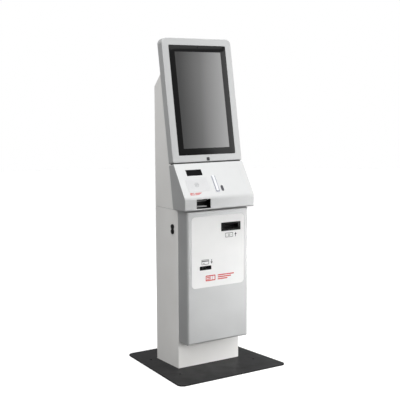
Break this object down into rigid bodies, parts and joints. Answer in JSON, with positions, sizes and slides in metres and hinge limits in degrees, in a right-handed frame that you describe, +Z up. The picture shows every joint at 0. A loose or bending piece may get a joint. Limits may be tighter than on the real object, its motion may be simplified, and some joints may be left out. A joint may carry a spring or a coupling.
{
  "type": "ticket vending machine",
  "caption": "Floor-standing ticket vending kiosk with a leaning upright touchscreen, a sloping console with readers and ticket exit, and a deep front door on a steel column and base plate.",
  "frame": {"origin": "on the floor at the centre of the footprint", "axes": "+Z up, -Y the front that the customer faces, +X to the right of someone facing the front"},
  "size_m": [0.6254, 0.595, 1.6277],
  "materials": {
    "black_powder_coat": "fine textured black powder coat on steel plate",
    "grey_powder_coat": "light grey satin powder coat on folded steel sheet",
    "silver_paint": "silver metallic lacquer, satin",
    "white_film": "white polyester overlay film",
    "black_abs": "moulded black ABS",
    "white_abs": "moulded white ABS",
    "pale_abs": "moulded pale grey ABS",
    "cover_glass": "clear toughened glass",
    "black_ink": "black printed border behind the glass",
    "zinc_plate": "zinc plated steel",
    "black_zinc": "black finished die cast zinc",
    "plated_lock": "nickel plated lock plug",
    "aluminium_case": "anodised aluminium",
    "rubber_black": "moulded rubber",
    "nylon_black": "moulded nylon",
    "smoked_lens": "smoked acrylic lens",
    "thermal_paper": "thermal paper on a card core"
  },
  "bodies": {
    "cabinet": {"base_plate": "black_powder_coat", "cabinet_shelf": "zinc_plate", "cable_gland": "nylon_black", "camera_module": "black_abs", "card_guide": "white_abs", "card_reader": "black_abs", "column_foot": "zinc_plate", "column_left_panel": "grey_powder_coat", "column_rear_panel": "grey_powder_coat", "column_right_panel": "grey_powder_coat", "computer": "aluminium_case", "console_shell": "silver_paint", "contactless_reader": "black_abs", "display_panel": "aluminium_case", "fan_frame": "nylon_black", "fixed_hinge_leaves": "zinc_plate", "foot_bolts": "zinc_plate", "front_frame": "grey_powder_coat", "glass_mask": "black_ink", "head_left_panel": "grey_powder_coat", "head_rear_frame": "grey_powder_coat", "head_right_panel": "grey_powder_coat", "head_top_cover": "grey_powder_coat", "lock_escutcheon": "black_zinc", "monitor_back_cover": "grey_powder_coat", "monitor_housing": "silver_paint", "power_supply": "aluminium_case", "presence_sensor": "smoked_lens", "roll_bracket": "zinc_plate", "scanner_module": "black_abs", "scanner_window": "cover_glass", "seam_gasket": "rubber_black", "status_lamp": "smoked_lens", "ticket_ledge": "pale_abs", "ticket_mouth": "black_abs", "ticket_printer": "pale_abs", "touch_glass": "cover_glass"},
    "front_door": {"front_door": "silver_paint", "door_overlay": "white_film", "bill_bezel": "black_abs", "bill_validator": "black_abs", "validator_carrier": "zinc_plate", "card_bezel": "black_abs", "card_dispenser": "black_abs", "card_magazine": "black_abs", "door_keeper": "zinc_plate", "front_hinge_door_leaves": "zinc_plate"},
    "cash_box": {"cash_box": "black_zinc"},
    "card_weight": {"card_weight": "zinc_plate"},
    "card_feed": {"card_feed_roller": "rubber_black"},
    "side_lock": {"lock_plug": "plated_lock"},
    "lock_cover": {"lock_cover": "black_zinc"},
    "rear_door": {"rear_door": "grey_powder_coat", "rear_hinge_door_leaves": "zinc_plate", "rear_lock_barrel": "black_zinc"},
    "rear_lock": {"rear_lock_plug": "plated_lock"},
    "paper_roll": {"paper_roll": "thermal_paper"},
    "platen": {"platen_roller": "rubber_black"},
    "printer_lid": {"printer_lid": "pale_abs"},
    "fan_rotor": {"fan_rotor": "nylon_black"}
  },
  "joints": [
    {"name": "front_door_hinge", "type": "hinge", "parent": "cabinet", "child": "front_door", "pos_m": [0.187, -0.0645, 0.468], "axis": [0, 0, 1], "range_deg": [0, 110]},
    {"name": "cash_box_slide", "type": "slide", "parent": "front_door", "child": "cash_box", "axis": [0, 1, 0], "range_m": [0, 0.11]},
    {"name": "card_weight_slide", "type": "slide", "parent": "front_door", "child": "card_weight", "axis": [0, 0, 1], "range_m": [0, 0.14]},
    {"name": "card_feed_turn", "type": "hinge", "parent": "front_door", "child": "card_feed", "pos_m": [-0.0745, -0.124, 0.503], "axis": [1, 0, 0], "continuous": true},
    {"name": "side_lock_turn", "type": "hinge", "parent": "cabinet", "child": "side_lock", "pos_m": [-0.17, -0.02, 0.71], "axis": [-1, 0, 0], "range_deg": [0, 90]},
    {"name": "lock_cover_swivel", "type": "hinge", "parent": "cabinet", "child": "lock_cover", "pos_m": [-0.185, -0.02, 0.686], "axis": [-1, 0, 0], "range_deg": [0, 120]},
    {"name": "rear_door_hinge", "type": "hinge", "parent": "cabinet", "child": "rear_door", "pos_m": [0.1655, 0.151, 1.1], "axis": [0, 0, -1], "range_deg": [0, 110]},
    {"name": "rear_lock_turn", "type": "hinge", "parent": "rear_door", "child": "rear_lock", "pos_m": [-0.132, 0.15, 1.1], "axis": [0, -1, 0], "range_deg": [0, 90]},
    {"name": "paper_roll_turn", "type": "hinge", "parent": "cabinet", "child": "paper_roll", "pos_m": [-0.096, 0.062, 0.868], "axis": [1, 0, 0], "continuous": true},
    {"name": "platen_turn", "type": "hinge", "parent": "cabinet", "child": "platen", "pos_m": [-0.096, -0.1205, 0.846], "axis": [1, 0, 0], "continuous": true},
    {"name": "printer_lid_hinge", "type": "hinge", "parent": "cabinet", "child": "printer_lid", "pos_m": [-0.096, -0.068, 0.871], "axis": [-1, 0, 0], "range_deg": [0, 50]},
    {"name": "fan_turn", "type": "hinge", "parent": "cabinet", "child": "fan_rotor", "pos_m": [0, 0.13, 0.679], "axis": [0, 1, 0], "continuous": true}
  ],
  "couplings": [
    {"joint": "platen_turn", "follows": "paper_roll_turn", "ratio": 8.4615}
  ]
}
